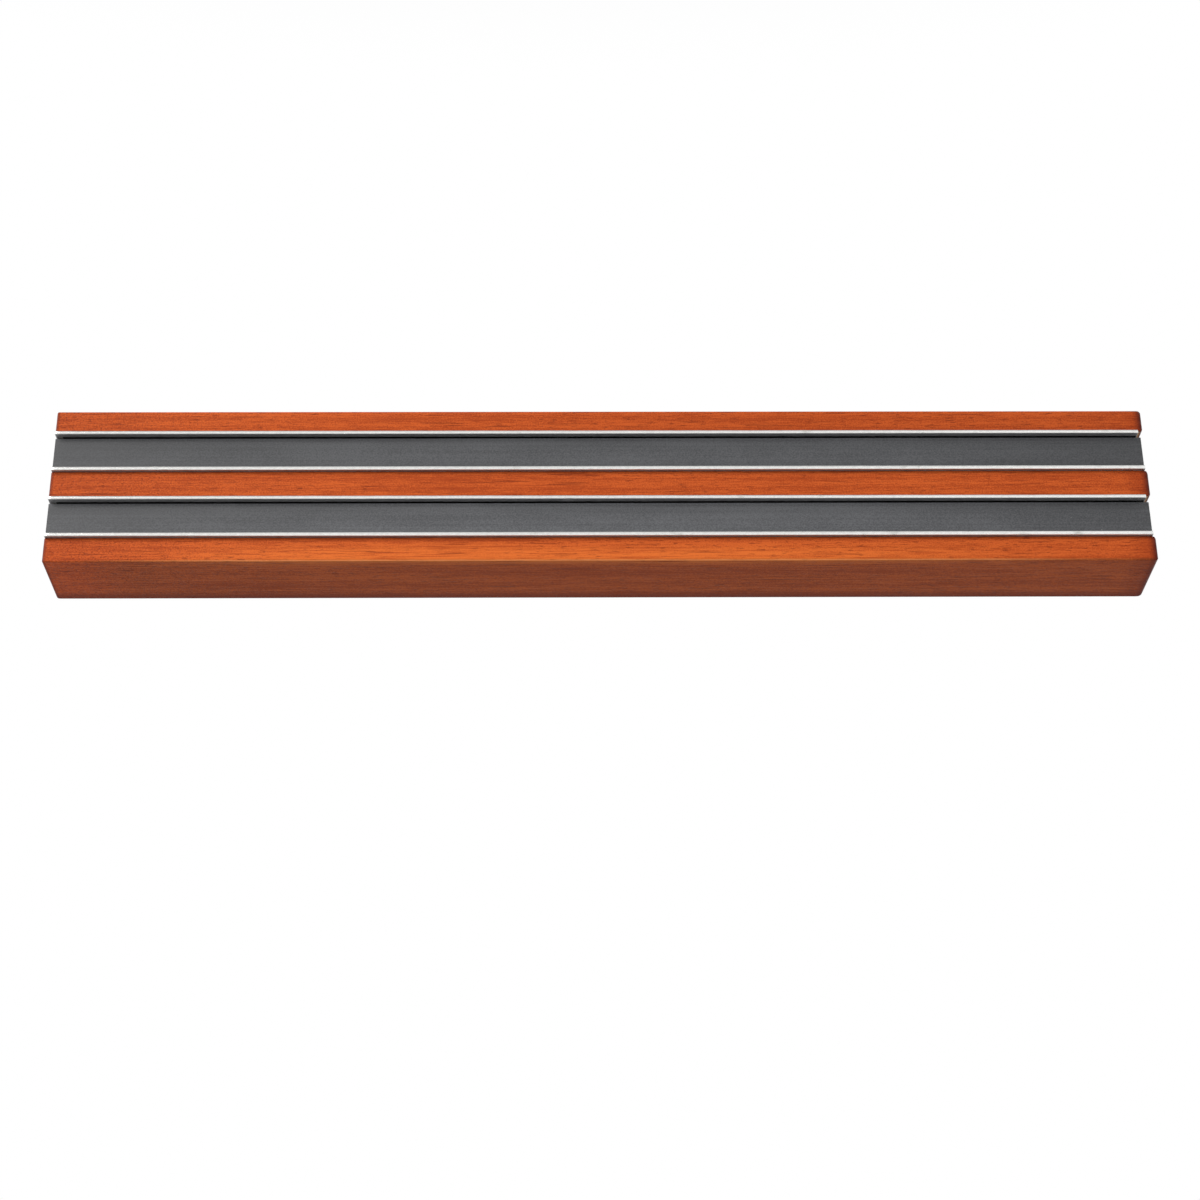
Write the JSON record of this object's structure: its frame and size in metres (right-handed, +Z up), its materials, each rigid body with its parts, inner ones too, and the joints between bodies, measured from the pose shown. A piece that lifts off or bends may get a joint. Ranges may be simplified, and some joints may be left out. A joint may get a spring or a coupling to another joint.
{
  "type": "magnetic knife rack",
  "caption": "Wall rack of stained hardwood with magnet bars let into its front: steel strips stand proud of a dark cover and hold knife blades.",
  "frame": {"origin": "middle of the board's back face, where the rack meets the wall", "axes": "+X along the rack to the right as it is seen from the front, +Y into the wall, +Z up"},
  "size_m": [0.3048, 0.0242, 0.0476],
  "materials": {
    "stained_wood": "reddish stain under a satin lacquer, fine straight grain along the rack",
    "pole_steel": "plated mild steel strip, front edge rolled and polished by blades",
    "cover_plastic": "dark grey extrusion with faint lengthwise streaks",
    "ferrite": "ground sintered ferrite, dull charcoal",
    "glue": "cured amber epoxy",
    "hanger_steel": "zinc-plated stamped sheet",
    "screw_steel": "yellow-passivated zinc"
  },
  "bodies": {
    "root": {"wood_board": "stained_wood", "upper_bar_glue_bed": "glue", "upper_bar_top_pole": "pole_steel", "upper_bar_bottom_pole": "pole_steel", "upper_bar_cover": "cover_plastic", "upper_bar_magnet_1": "ferrite", "upper_bar_magnet_2": "ferrite", "upper_bar_magnet_3": "ferrite", "upper_bar_magnet_4": "ferrite", "upper_bar_magnet_5": "ferrite", "upper_bar_magnet_6": "ferrite", "lower_bar_glue_bed": "glue", "lower_bar_top_pole": "pole_steel", "lower_bar_bottom_pole": "pole_steel", "lower_bar_cover": "cover_plastic", "lower_bar_magnet_1": "ferrite", "lower_bar_magnet_2": "ferrite", "lower_bar_magnet_3": "ferrite", "lower_bar_magnet_4": "ferrite", "lower_bar_magnet_5": "ferrite", "lower_bar_magnet_6": "ferrite", "left_hanger": "hanger_steel", "left_hanger_left_screw": "screw_steel", "left_hanger_right_screw": "screw_steel", "right_hanger": "hanger_steel", "right_hanger_left_screw": "screw_steel", "right_hanger_right_screw": "screw_steel"}
  },
  "joints": []
}
